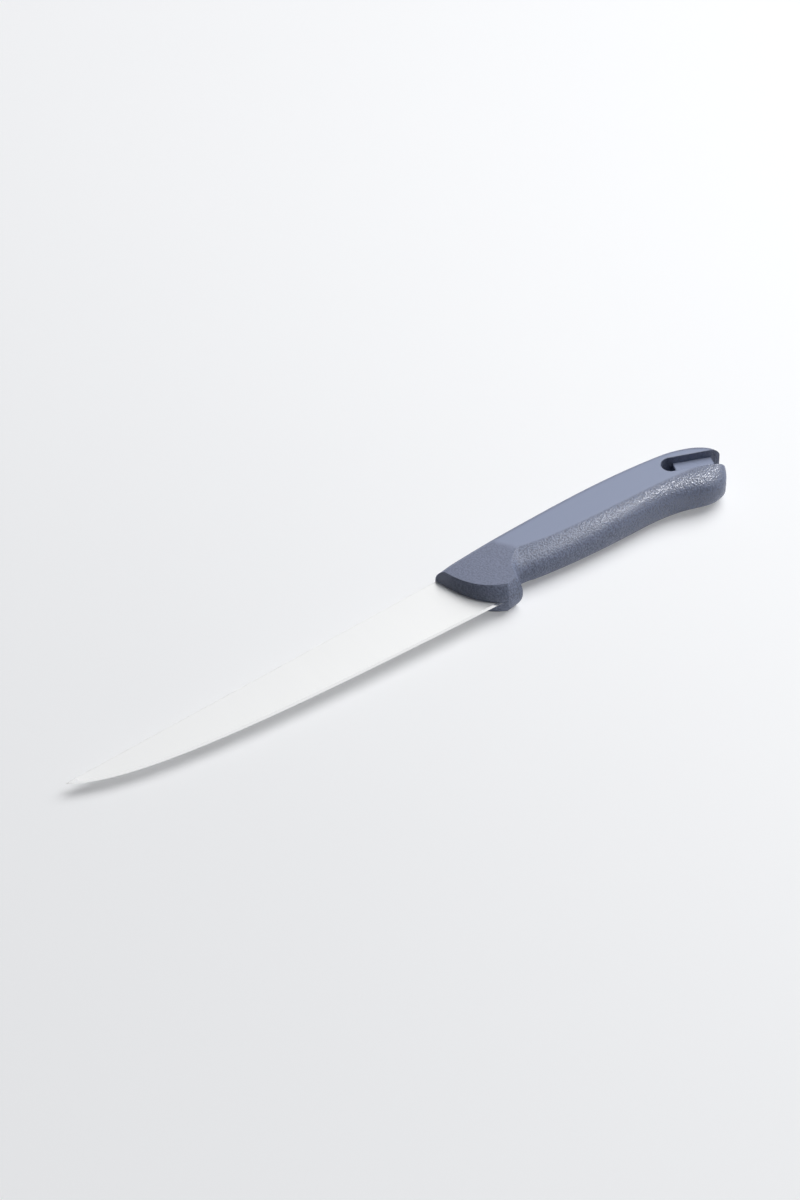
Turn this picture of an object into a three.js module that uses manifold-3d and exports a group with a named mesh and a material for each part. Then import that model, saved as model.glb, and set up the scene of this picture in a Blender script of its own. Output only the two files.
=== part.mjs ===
// A slim kitchen knife lying on its side: a ground steel blade with a tang, and a handle moulded over it.
// Millimetres, +Z up. +X runs from the point to the butt and +Y from the cutting edge to the spine.
// It is drawn about its own mid-plane, with x = 0 at the handle's front and y = 0 on the blade's spine.

import * as THREE from 'three';
import { mergeVertices } from 'three/addons/utils/BufferGeometryUtils.js';
import Module from 'manifold-3d';

const wasm = await Module();
wasm.setup();

// Blade sizes
const bladeLength = 175; // point to handle front, along the spine
const heelWidth = 25.3; // spine to edge at the guard
const bladeThickness = 1.8; // at the spine, by the handle
const pointThickness = 0.8; // at the spine, by the point
const edgePull = 116.4; // length of the flat stretch of the edge in front of the heel
const edgeRise = 4.5; // how far that stretch climbs towards the spine
const pointReach = 19.2; // length of the steep stretch of the edge behind the point
const pointDrop = 15.5; // how far that stretch falls from the spine
const bevelWidth = 1.1; // second bevel along the edge
const bevelThickness = 0.5; // blade thickness behind the second bevel
const edgeLand = 0.06; // thickness of the edge itself
const bladeSeat = 2.2; // depth of the blade's shoulder inside the handle
const heelSeat = 0.7; // depth of the heel inside the guard

// Tang sizes
const tangLength = 104; // handle front to tang end
const tangWidth = 13;
const tangTop = 4.2; // blade's spine to the upper side of the tang
const anchorHoleRadius = 2.5;
const anchorHoleCount = 3;
const anchorHoleFirst = 42; // handle front to the first hole
const anchorHolePitch = 22;

// Clearance between the steel and the plastic round it
const fitGap = 0.3;

// Handle sizes along its length, from its front
const creaseSpine = 29.4; // where the bolster face meets the side facet, by the spine
const creaseBelly = 32.9; // the other end of that crease
const spineCrownAt = 47; // highest point of the spine
const buttSpineAt = 112.2; // start of the round butt, on the spine
const buttBellyAt = 120; // end of the round butt, on the belly
const gripMiddle = 87; // where the belly runs level
const recessAt = 27; // deepest part of the finger recess

// Handle sizes across, measured from the blade's spine
const frontRise = 0.3; // spine of the handle at its front
const spineCrown = 1.0; // highest point of the spine
const buttSpineDrop = 3.0; // spine at the start of the round butt
const buttDepth = 30; // lowest point of the butt
const gripDepth = 23.5; // belly where it runs level
const gripFrontDepth = 22.3; // pull of the belly on its way from there to the finger recess
const recessDepth = 19.2; // belly in the finger recess
const facetRearDepth = 13.5; // pull of the line between side facet and belly, in front of the slot
const facetFrontDepth = 16.5; // pull of the same line in the middle of the grip
const creaseDepth = 8.7; // the same line at the crease

// Guard sizes
const guardFrontAt = 15.3; // front corner, from the handle's front
const guardBackAt = 22.9; // rear corner
const guardFrontDepth = 26.5; // front corner, from the blade's spine
const guardBackDepth = 25.7; // rear corner

// Half thicknesses, from the mid-plane to the side face
const facetHalfFront = 7.5; // at the crease by the spine
const facetHalfButt = 8.5; // at the start of the round butt
const bolsterHalfFront = 6.2; // at the handle's front by the spine

// Rounding between side face and rim
const spineRound = 3.3;
const buttRound = 3.9;
const bellyRound = 12; // where the butt turns into the belly
const buttRoundShare = 0.12; // share of the lower butt that keeps the butt's own rounding
const guardRound = 2.6; // how far the guard's end bulges past its side faces
const frontRound = 1.5; // how far the front bulges past its side faces
const beakSetback = 2.6; // the same at the beak, where the front meets the spine
const beakRound = 4.8; // height of the rounding at the beak
const beakShare = 0.25; // share of the bolster over which that turns into the spine's own rounding
const partingLand = 0.4; // half height of the flat land along the mould's parting line
const softPower = 2; // profile power of a plain round
const frontPower = 1.1; // a low power makes a sharp edge round the front and the guard
const creasePower = 1.45; // a middling power makes a soft crease along the front of the facet
const bellyWallPower = 3; // a high power makes an upright wall along the belly
const spinePower = 2.6; // how late the spine falls away towards the butt

// How far the round butt keeps its direction at each end of its two curves
const buttSpinePull = 11.2;
const buttUpperPull = 10;
const buttLowerPull = 4.5;
const buttBellyPull = 7.5;

// Pulls of the other curves, as shares of the stretch that each one shapes
const frontLowSetback = 0.4;
const frontLowDepth = 0.83;
const frontHighSetback = 0.15;
const frontHighDepth = 0.42;
const flarePull = 0.24;
const gripRearPull = 0.7;
const gripFrontPull = 0.4;
const recessRearPull = 0.3;
const recessPull = 0.35;
const guardBackPull = 0.85;
const facetRearPull = 0.12;
const facetFrontPull = 0.23;

// Clip slot and hanging hole in the butt
const slotWidth = 7.9;
const slotTurn = THREE.MathUtils.degToRad(-23.9); // direction of the slot, from the blade's spine
const slotAt = 110.9; // centre of the slot's round inner end, from the handle's front
const slotDepth = 11.3; // the same centre, from the blade's spine
const slotReach = 22.2; // the same centre to the end of the butt, along the slot
const buttTurn = THREE.MathUtils.degToRad(-34); // direction that the end of the butt faces
const hangHoleStraight = 2.0; // straight stretch of the hanging hole, behind its round end
const bridgeLength = 16.4; // clip bridge along the slot
const bridgeDrop = 3.5; // side facet to clip bridge

// Mesh steps
const bladeSteps = 36;
const roundSteps = 8;
const bolsterSteps = 8;
const spineSteps = 12;
const buttSteps = 12;
const bellySteps = 12;
const recessSteps = 8;
const guardSteps = 3;
const frontSteps = 12;
const arcSteps = 10;
const halvings = 40;

const overcut = 5; // how far a cutting body runs past the surface that it cuts

const { lerp, smoothstep } = THREE.MathUtils;
const at = (x, y) => new THREE.Vector2(x, y);
const facetTaper = (facetHalfButt - facetHalfFront) / (buttSpineAt - creaseSpine);

// Geometry helpers

// A closed geometry as a solid that can be joined and cut.
function solidOf(geometry) {
  const bare = geometry.clone();
  bare.deleteAttribute('normal');
  bare.deleteAttribute('uv');
  const merged = mergeVertices(bare);
  const vertProperties = Float32Array.from(merged.attributes.position.array);
  const triVerts = Uint32Array.from(merged.index.array);
  return new wasm.Manifold(new wasm.Mesh({ numProp: 3, vertProperties, triVerts }));
}

// A solid as a geometry.
function geometryOf(solid) {
  const { vertProperties, triVerts } = solid.getMesh();
  const geometry = new THREE.BufferGeometry();
  geometry.setAttribute('position', new THREE.BufferAttribute(vertProperties, 3));
  geometry.setIndex(new THREE.BufferAttribute(triVerts, 1));
  return geometry;
}

// A geometry from a list of points and a list of triangles.
function geometryFrom(points, triangles) {
  const geometry = new THREE.BufferGeometry();
  geometry.setFromPoints(points);
  geometry.setIndex(triangles.flat());
  return geometry;
}

// A flat shape as a plate that lies evenly on both sides of the mid-plane.
function plateGeometry(shape, halfThickness) {
  const depth = halfThickness * 2;
  const geometry = new THREE.ExtrudeGeometry(shape, { depth, bevelEnabled: false, curveSegments: arcSteps });
  return geometry.translate(0, 0, -halfThickness);
}

// Triangles between two neighbouring rings of points, each ring given by the number of its first point.
function bandTriangles(first, second, count) {
  const triangles = [];
  for (let i = 0; i < count; i += 1) {
    const next = (i + 1) % count;
    triangles.push([first + i, first + next, second + next]);
    triangles.push([first + i, second + next, second + i]);
  }
  return triangles;
}

// Handle outline

// Height of the handle's spine along its length.
function spineLine(x) {
  if (x < spineCrownAt) {
    return spineCrown - (spineCrown - frontRise) * ((spineCrownAt - x) / spineCrownAt) ** 2;
  }
  const share = (x - spineCrownAt) / (buttSpineAt - spineCrownAt);
  return spineCrown - (spineCrown + buttSpineDrop) * share ** spinePower;
}

// Slope of the spine where the round butt takes over.
const buttSlope = (-spinePower * (spineCrown + buttSpineDrop)) / (buttSpineAt - spineCrownAt);

// The handle's front at the mid-plane, from the guard up to the spine.
function frontCurve() {
  return new THREE.CubicBezierCurve(
    at(guardFrontAt, -guardFrontDepth),
    at(guardFrontAt * frontLowSetback, -guardFrontDepth * frontLowDepth),
    at(guardFrontAt * frontHighSetback, -guardFrontDepth * frontHighDepth),
    at(0, frontRise),
  );
}

// How far behind the spine's front the handle's front lies at a height y, by halving.
function frontAt(y) {
  const curve = frontCurve();
  let low = 0;
  let high = 1;
  for (let i = 0; i < halvings; i += 1) {
    const share = (low + high) / 2;
    if (curve.getPoint(share).y < y) {
      low = share;
    } else {
      high = share;
    }
  }
  return curve.getPoint(low).x;
}

// Half thickness of the side facet. The facet is a plane, so it lies flat on a table.
function facetHalf(x) {
  return facetHalfFront + facetTaper * (x - creaseSpine);
}

const creaseTop = at(creaseSpine, spineLine(creaseSpine) - spineRound);
const creaseEnd = at(creaseBelly, -creaseDepth);
const frontTop = at(beakSetback, frontRise - spineRound);
const guardFrontFace = at(guardFrontAt + frontRound, -guardFrontDepth + guardRound);
const guardBackFace = at(guardBackAt - frontRound, -guardBackDepth + guardRound);

// A point's place along the crease and its distance in front of it.
function fromCrease(point) {
  const along = creaseEnd.clone().sub(creaseTop).normalize();
  const away = point.clone().sub(creaseTop);
  return { along: away.dot(along), front: away.cross(along) };
}

// Half thickness of the bolster. Its face falls forward from the crease by the spine.
// At the guard it runs out level with the facet, so the guard rests on the table too.
function bolsterHalf(point) {
  const top = fromCrease(frontTop);
  const low = fromCrease(guardFrontFace);
  const { along, front } = fromCrease(point);
  const rate = (facetHalf(frontTop.x) - bolsterHalfFront) / top.front;
  const fall = Math.max(0, (low.along - along) / (low.along - top.along));
  return facetHalf(point.x) - front * rate * fall;
}

// One column of the rim: where it leaves the side face, where it meets the mid-plane, and the round between.
function column(face, rim, half, roundHeight, power, wallPower = softPower) {
  return { face, rim, half, roundHeight: Math.min(roundHeight, half - partingLand), power, wallPower };
}

// A point set in from a curve, square to it, on its right-hand side.
function inset(curve, share, distance) {
  const { x, y } = curve.getPointAt(share);
  const along = curve.getTangentAt(share);
  return at(x + along.y * distance, y - along.x * distance);
}

// Columns round the handle, clockwise as seen from above, starting at the front of the spine.
function rimColumns() {
  const columns = [];

  // Adds the columns of one stretch, up to but not including its far end.
  const stretch = (steps, make) => {
    for (let i = 0; i < steps; i += 1) {
      columns.push(make(i / steps));
    }
  };

  // Spine of the bolster
  stretch(bolsterSteps, (share) => {
    const face = frontTop.clone().lerp(creaseTop, share);
    const x = creaseSpine * share;
    const tall = bolsterHalf(face);
    const roundHeight = lerp(beakRound, spineRound, smoothstep(share, 0, beakShare));
    return column(face, at(x, spineLine(x)), tall, roundHeight, softPower);
  });
  const creaseStart = columns.length;

  // Spine of the grip
  stretch(spineSteps, (share) => {
    const x = lerp(creaseSpine, buttSpineAt, share);
    const y = spineLine(x);
    return column(at(x, y - spineRound), at(x, y), facetHalf(x), spineRound, softPower);
  });

  // Round butt, first from the spine to its end and then on to the belly
  const buttEnd = at(slotReach, 0).rotateAround(at(0, 0), slotTurn).add(at(slotAt, -slotDepth));
  const square = at(0, 1).rotateAround(at(0, 0), buttTurn);
  const buttTop = at(buttSpineAt, -buttSpineDrop);
  const buttLow = at(buttBellyAt, -buttDepth);
  const upperButt = new THREE.CubicBezierCurve(
    buttTop,
    at(buttTop.x + buttSpinePull, buttTop.y + buttSlope * buttSpinePull),
    buttEnd.clone().addScaledVector(square, buttUpperPull),
    buttEnd,
  );
  const lowerButt = new THREE.CubicBezierCurve(
    buttEnd,
    buttEnd.clone().addScaledVector(square, -buttLowerPull),
    at(buttLow.x + buttBellyPull, buttLow.y),
    buttLow,
  );
  stretch(buttSteps, (share) => {
    const round = lerp(spineRound, buttRound, share);
    const face = inset(upperButt, share, round);
    return column(face, upperButt.getPointAt(share), facetHalf(face.x), round, softPower);
  });
  const buttFace = inset(lowerButt, 0, buttRound);
  const bellyFace = inset(lowerButt, 1, bellyRound);
  stretch(buttSteps, (share) => {
    const turn = smoothstep(share, buttRoundShare, 1);
    const face = buttFace.clone().lerp(bellyFace, turn);
    const tall = facetHalf(face.x);
    const roundHeight = lerp(buttRound, tall, turn);
    const wallPower = lerp(softPower, bellyWallPower, turn);
    return column(face, lowerButt.getPointAt(share), tall, roundHeight, softPower, wallPower);
  });

  // Belly, from the butt to the level grip and on to the finger recess
  const bellyReach = buttBellyAt - gripMiddle;
  const rearBelly = new THREE.CubicBezierCurve(
    buttLow,
    at(lerp(buttLow.x, gripMiddle, flarePull), -buttDepth),
    at(lerp(gripMiddle, buttLow.x, gripRearPull), -gripDepth),
    at(gripMiddle, -gripDepth),
  );
  const gripReach = gripMiddle - recessAt;
  const frontBelly = new THREE.CubicBezierCurve(
    at(gripMiddle, -gripDepth),
    at(gripMiddle - gripReach * gripFrontPull, -gripDepth),
    at(recessAt + gripReach * recessRearPull, -gripFrontDepth),
    at(recessAt, -recessDepth),
  );
  const facetLine = new THREE.CubicBezierCurve(
    bellyFace,
    at(gripMiddle + bellyReach * facetRearPull, -facetRearDepth),
    at(creaseBelly + gripReach * facetFrontPull, -facetFrontDepth),
    creaseEnd,
  );
  const bellyLength = rearBelly.getLength() + frontBelly.getLength();
  let passed = 0;
  [rearBelly, frontBelly].forEach((curve) => {
    const length = curve.getLength();
    stretch(bellySteps, (share) => {
      const way = (passed + share * length) / bellyLength;
      const face = facetLine.getPointAt(way);
      const tall = facetHalf(face.x);
      const power = lerp(softPower, creasePower, smoothstep(way, 0, 1));
      return column(face, curve.getPointAt(share), tall, tall, power, bellyWallPower);
    });
    passed += length;
  });
  const creaseStop = columns.length;

  // Finger recess, up the back of the guard
  const guardBack = at(guardBackAt, -guardBackDepth);
  const guardFront = at(guardFrontAt, -guardFrontDepth);
  const recess = new THREE.CubicBezierCurve(
    at(recessAt, -recessDepth),
    at(lerp(recessAt, guardBackAt, recessPull), -recessDepth),
    at(lerp(recessAt, guardBackAt, guardBackPull), -recessDepth),
    guardBack,
  );
  stretch(recessSteps, (share) => {
    const face = creaseEnd.clone().lerp(guardBackFace, share);
    const tall = bolsterHalf(face);
    const power = lerp(creasePower, frontPower, share);
    return column(face, recess.getPointAt(share), tall, tall, power, lerp(bellyWallPower, softPower, share));
  });

  // End of the guard
  stretch(guardSteps, (share) => {
    const face = guardBackFace.clone().lerp(guardFrontFace, share);
    const tall = bolsterHalf(face);
    return column(face, guardBack.clone().lerp(guardFront, share), tall, tall, frontPower);
  });

  // Front face, from the guard up to the spine
  const front = frontCurve();
  const frontFace = new THREE.CubicBezierCurve(
    guardFrontFace,
    at(front.v1.x + frontRound, front.v1.y + guardRound),
    at(front.v2.x + frontRound, front.v2.y),
    frontTop,
  );
  stretch(frontSteps, (share) => {
    const face = frontFace.getPointAt(share);
    const tall = bolsterHalf(face);
    return column(face, front.getPointAt(share), tall, tall, frontPower);
  });

  return { columns, creaseStart, creaseStop };
}

// Points of one column from the upper side face over the rim to the lower one.
function columnPoints({ face, rim, half, roundHeight, power, wallPower }) {
  const upper = [];
  for (let i = 0; i <= roundSteps; i += 1) {
    const angle = (Math.PI / 2) * (i / roundSteps);
    const out = Math.sin(angle) ** (2 / power);
    const { x, y } = face.clone().lerp(rim, out);
    const fall = 1 - Math.cos(angle) ** (2 / wallPower);
    upper.push(new THREE.Vector3(x, y, half - roundHeight * fall));
  }
  const lower = upper.map(({ x, y, z }) => new THREE.Vector3(x, y, -z)).reverse();
  return [...upper, ...lower];
}

// Triangles that fill the side face inside the numbered rim points, seen from above.
function faceTriangles(numbers, columns) {
  const outline = numbers.map((n) => columns[n].face);
  return THREE.ShapeUtils.triangulateShape(outline, []).map((triangle) => triangle.map((i) => numbers[i]));
}

// The handle's outer form, without slot and tang pocket.
function handleForm() {
  const { columns, creaseStart, creaseStop } = rimColumns();
  const count = columns.length;
  const byColumn = columns.map(columnPoints);
  const ringCount = byColumn[0].length;
  const points = [];
  const triangles = [];
  for (let ring = 0; ring < ringCount; ring += 1) {
    points.push(...byColumn.map((column) => column[ring]));
    if (ring > 0) {
      triangles.push(...bandTriangles((ring - 1) * count, ring * count, count));
    }
  }
  const numbers = columns.map((_, n) => n);
  const facet = numbers.slice(creaseStart, creaseStop + 1).reverse();
  const bolster = [...numbers.slice(creaseStop), ...numbers.slice(0, creaseStart + 1)].reverse();
  const last = (ringCount - 1) * count;
  [facet, bolster].forEach((outline) => {
    faceTriangles(outline, columns).forEach(([a, b, c]) => {
      triangles.push([a, b, c], [last + a, last + c, last + b]);
    });
  });
  return solidOf(geometryFrom(points, triangles));
}

// Blade and tang

// The cutting edge from the heel to the point.
function edgeCurve() {
  const heel = at(guardFrontAt, -heelWidth);
  const tip = at(-bladeLength, 0);
  return new THREE.CubicBezierCurve(
    heel,
    at(heel.x - edgePull, heel.y + edgeRise),
    at(tip.x + pointReach, tip.y - pointDrop),
    tip,
  );
}

// One blade section, round from the upper side of the spine, larger all round by a gap.
function bladeSection(edge, gap) {
  const share = (guardFrontAt - edge.x) / (guardFrontAt + bladeLength);
  const spineHalf = lerp(bladeThickness, pointThickness, share) / 2 + gap;
  const bevel = Math.min(bevelWidth, -edge.y / 2);
  const bevelHalf = bevelThickness / 2 + gap;
  const edgeHalf = edgeLand / 2 + gap;
  return [
    [gap, spineHalf],
    [gap, -spineHalf],
    [edge.y + bevel, -bevelHalf],
    [edge.y - gap, -edgeHalf],
    [edge.y - gap, edgeHalf],
    [edge.y + bevel, bevelHalf],
  ].map(([y, z]) => new THREE.Vector3(edge.x, y, z));
}

// The ground blade from its point to past the handle's front, larger all round by a gap.
function groundBlade(gap) {
  const curve = edgeCurve();
  const points = [];
  const triangles = [];
  for (let i = 0; i < bladeSteps; i += 1) {
    points.push(...bladeSection(curve.getPoint(i / bladeSteps), gap));
  }
  const size = points.length / bladeSteps;
  for (let i = 1; i < bladeSteps; i += 1) {
    triangles.push(...bandTriangles((i - 1) * size, i * size, size));
  }
  const last = points.length - size;
  const tip = points.length;
  points.push(new THREE.Vector3(-bladeLength, 0, 0));
  for (let i = 0; i < size; i += 1) {
    triangles.push([last + i, last + ((i + 1) % size), tip]);
    if (i > 1) {
      triangles.push([0, i, i - 1]);
    }
  }
  return solidOf(geometryFrom(points, triangles));
}

// Room for the blade in front of its seat: its back follows the handle's front, larger by a gap.
function seatRoom(gap) {
  const heel = frontAt(-heelWidth) + heelSeat + gap;
  const front = frontCurve().getPoints(frontSteps);
  const back = front.map(({ x, y }) => at(x + bladeSeat + gap, y + bladeSeat)).filter(({ x }) => x < heel);
  const shape = new THREE.Shape([
    at(-bladeLength - overcut, overcut),
    at(-bladeLength - overcut, -heelWidth - overcut),
    at(heel, -heelWidth - overcut),
    at(heel, back[0].y),
    ...back,
    at(bladeSeat + gap, overcut),
  ]);
  return solidOf(plateGeometry(shape, bladeThickness + overcut));
}

// The tang behind the blade, with its anchor holes, larger all round by a gap.
function tang(gap) {
  const high = -tangTop + gap;
  const low = -tangTop - tangWidth - gap;
  const round = (high - low) / 2;
  const middle = tangLength + gap - round;
  const shape = new THREE.Shape();
  shape.moveTo(frontAt(low) + bladeSeat / 2 - gap, low);
  shape.lineTo(middle, low);
  shape.absarc(middle, low + round, round, -Math.PI / 2, Math.PI / 2, false);
  shape.lineTo(frontAt(high) + bladeSeat / 2 - gap, high);
  shape.closePath();
  for (let i = 0; i < anchorHoleCount; i += 1) {
    const hole = new THREE.Path();
    const holeAt = anchorHoleFirst + i * anchorHolePitch;
    hole.absarc(holeAt, low + round, anchorHoleRadius - gap, 0, Math.PI * 2, true);
    shape.holes.push(hole);
  }
  return solidOf(plateGeometry(shape, bladeThickness / 2 + gap));
}

// The whole steel piece, or with a gap the pocket that it sits in.
function bladeSolid(gap) {
  return groundBlade(gap).intersect(seatRoom(gap)).add(tang(gap));
}

// Handle cuts

// The clip slot, open at the butt, with the bridge left standing and the hanging hole behind it.
function slotCut() {
  const radius = slotWidth / 2;
  const length = slotReach + overcut;
  const tall = facetHalfButt + overcut;
  const channel = new THREE.Shape();
  channel.absarc(0, 0, radius, Math.PI / 2, Math.PI * 1.5, false);
  channel.lineTo(length, -radius);
  channel.lineTo(length, radius);
  channel.closePath();
  const bridgeHeight = 2 * (facetHalf(slotAt) - bridgeDrop);
  const bridge = new THREE.BoxGeometry(bridgeLength, slotWidth + overcut, bridgeHeight);
  bridge.translate(hangHoleStraight + bridgeLength / 2, 0, 0);
  const place = new THREE.Matrix4().makeRotationZ(slotTurn).setPosition(slotAt, -slotDepth, 0);
  const channelSolid = solidOf(plateGeometry(channel, tall).applyMatrix4(place));
  return channelSolid.subtract(solidOf(bridge.applyMatrix4(place)));
}

function handleSolid() {
  return handleForm().subtract(slotCut()).subtract(bladeSolid(fitGap));
}

// Assembly

const satinSteel = new THREE.MeshStandardMaterial({ color: 0xd9d9d7, roughness: 0.32, metalness: 1 });
const grainedPlastic = new THREE.MeshStandardMaterial({ color: 0x67708a, roughness: 0.6, metalness: 0 });

function part(name, solid, material) {
  const mesh = new THREE.Mesh(geometryOf(solid), material);
  mesh.name = name;
  return mesh;
}

const knife = new THREE.Group();
knife.add(part('blade', bladeSolid(0), satinSteel));
knife.add(part('handle', handleSolid(), grainedPlastic));

// The lower facet lies level on the table, and the origin is below the middle of the knife.
knife.rotation.y = -Math.atan(facetTaper);
const box = new THREE.Box3().setFromObject(knife, true);
const middle = box.getCenter(new THREE.Vector3());
knife.position.set(-middle.x, -middle.y, -box.min.z);

const group = new THREE.Group();
group.add(knife);

export default group;
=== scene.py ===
"""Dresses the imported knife: a ground steel blade and a grained handle, on a white table."""

import bisect
import logging
import math
from dataclasses import dataclass
from enum import Enum
from typing import Sequence, Union

import bmesh
import bpy
from mathutils import Matrix, Vector


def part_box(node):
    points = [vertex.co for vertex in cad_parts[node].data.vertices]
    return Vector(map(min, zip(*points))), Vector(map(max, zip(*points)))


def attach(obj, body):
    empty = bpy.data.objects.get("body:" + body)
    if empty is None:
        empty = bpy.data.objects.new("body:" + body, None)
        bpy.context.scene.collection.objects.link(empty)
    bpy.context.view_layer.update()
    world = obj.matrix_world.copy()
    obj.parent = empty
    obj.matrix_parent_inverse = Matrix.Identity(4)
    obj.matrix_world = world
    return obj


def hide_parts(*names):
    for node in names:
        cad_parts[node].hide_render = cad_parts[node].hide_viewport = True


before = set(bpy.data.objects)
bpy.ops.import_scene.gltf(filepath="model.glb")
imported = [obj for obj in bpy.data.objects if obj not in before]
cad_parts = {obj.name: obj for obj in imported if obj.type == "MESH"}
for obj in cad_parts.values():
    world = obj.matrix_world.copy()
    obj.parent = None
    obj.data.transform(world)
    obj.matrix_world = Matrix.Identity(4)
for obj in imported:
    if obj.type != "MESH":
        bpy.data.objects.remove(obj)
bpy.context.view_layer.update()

MM = 0.001
# The grain layer sets both the plastic's grain and the painted shade of its colour.
GRAIN_AND_SHADE_LAYER = "grain"
BEVEL_LAYER = "bevel"
# The least cosine between two directions that count as one
SAME_WAY = 0.99
# Points of a drawing that lie closer than this are welded, in millimetres
WELD = 1e-4
log = logging.getLogger("knife")

SocketValue = Union[bpy.types.NodeSocket, float, Sequence[float]]


class Join(Enum):
    """How one solid is joined to another."""

    UNION = "UNION"
    CUT = "DIFFERENCE"
    KEEP = "INTERSECT"


class Node(Enum):
    """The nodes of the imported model."""

    BLADE = "blade"
    HANDLE = "handle"


class Slot(Enum):
    """The record's material slots."""

    STEEL = "blade_steel"
    PLASTIC = "handle_plastic"


# Small tools


def lerp(start: float, end: float, share: float) -> float:
    """The value at a share of the way from start to end."""
    return start + (end - start) * share


def smooth(value: float, low: float, high: float) -> float:
    """A soft step from 0 at low to 1 at high."""
    share = min(1.0, max(0.0, (value - low) / (high - low)))
    return share * share * (3 - 2 * share)


def shares(steps: int) -> list[float]:
    """Even shares of a way from 0 on, without its end."""
    return [i / steps for i in range(steps)]


def linear(hex_colour: str) -> tuple[float, float, float, float]:
    """Turns an sRGB hex colour to linear light.

    Args:
        hex_colour: Six hex digits, red first.

    Returns:
        Linear red, green and blue, and full alpha.
    """
    parts = [int(hex_colour[i:i + 2], 16) / 255 for i in (0, 2, 4)]
    # The sRGB curve, which is straight near black
    light = [c / 12.92 if c <= 0.04045 else ((c + 0.055) / 1.055) ** 2.4 for c in parts]
    return light[0], light[1], light[2], 1.0


def add_node(
    tree: bpy.types.NodeTree, kind: str, inputs: dict[str, SocketValue], **settings: object
) -> bpy.types.Node:
    """Adds a node with its settings, and links or sets its inputs.

    Args:
        tree: The node tree.
        kind: The node's type name.
        inputs: For each input's name, a socket to link or a value to set.
        **settings: Properties of the node.

    Returns:
        The new node.
    """
    made = tree.nodes.new(kind)
    for name, value in settings.items():
        setattr(made, name, value)
    for name, value in inputs.items():
        if isinstance(value, bpy.types.NodeSocket):
            tree.links.new(value, made.inputs[name])
        else:
            made.inputs[name].default_value = value
    return made


def seen_ray(tree: bpy.types.NodeTree) -> bpy.types.NodeSocket:
    """Tells rays of the camera and of reflections from rays that only carry light.

    Args:
        tree: The node tree.

    Returns:
        A socket that is 1 for rays that are seen, and 0 for the rest.
    """
    path = add_node(tree, "ShaderNodeLightPath", {})
    seen = add_node(tree, "ShaderNodeMath", {}, operation="MAXIMUM")
    tree.links.new(path.outputs["Is Camera Ray"], seen.inputs[0])
    tree.links.new(path.outputs["Is Glossy Ray"], seen.inputs[1])
    return seen.outputs["Value"]


def start_material(
    name: str,
) -> tuple[bpy.types.Material, bpy.types.NodeTree, bpy.types.Node]:
    """Starts a material with its main shader.

    Args:
        name: The material's name.

    Returns:
        The material, its node tree and its main shader.
    """
    made = bpy.data.materials.new(name)
    made.use_nodes = True
    tree = made.node_tree
    return made, tree, tree.nodes["Principled BSDF"]


def select_only(piece: bpy.types.Object) -> None:
    """Makes one object the only selected one, and the active one.

    Args:
        piece: The object.
    """
    bpy.ops.object.select_all(action="DESELECT")
    piece.select_set(True)
    bpy.context.view_layer.objects.active = piece


def apply_modifier(piece: bpy.types.Object, kind: str, **settings: object) -> None:
    """Adds a modifier with its settings and applies it.

    Args:
        piece: The object to change.
        kind: The modifier's type name.
        **settings: Properties of the modifier.
    """
    select_only(piece)
    modifier = piece.modifiers.new(kind.lower(), kind)
    for name, value in settings.items():
        setattr(modifier, name, value)
    bpy.ops.object.modifier_apply(modifier=modifier.name)


def join_solids(piece: bpy.types.Object, tool: bpy.types.Object, how: Join) -> None:
    """Joins or cuts a solid with another one, which is then removed.

    Args:
        piece: The solid that stays.
        tool: The solid that is used up.
        how: Whether the tool is added, cut away or kept in common.
    """
    apply_modifier(piece, "BOOLEAN", operation=how.value, object=tool, solver="EXACT")
    bpy.data.objects.remove(tool)


def settle(piece: bpy.types.Object, sharp_angle: float, place: Matrix) -> None:
    """Smooths a finished solid between its sharp edges and lays it in the shared frame.

    Args:
        piece: The solid, still in the knife's own drawing.
        sharp_angle: The angle from which an edge stays sharp, in degrees.
        place: From the drawing to the shared frame.
    """
    select_only(piece)
    bpy.ops.object.shade_smooth_by_angle(angle=math.radians(sharp_angle))
    apply_modifier(piece, "WEIGHTED_NORMAL", mode="FACE_AREA", keep_sharp=True)
    piece.data.transform(place)


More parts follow.
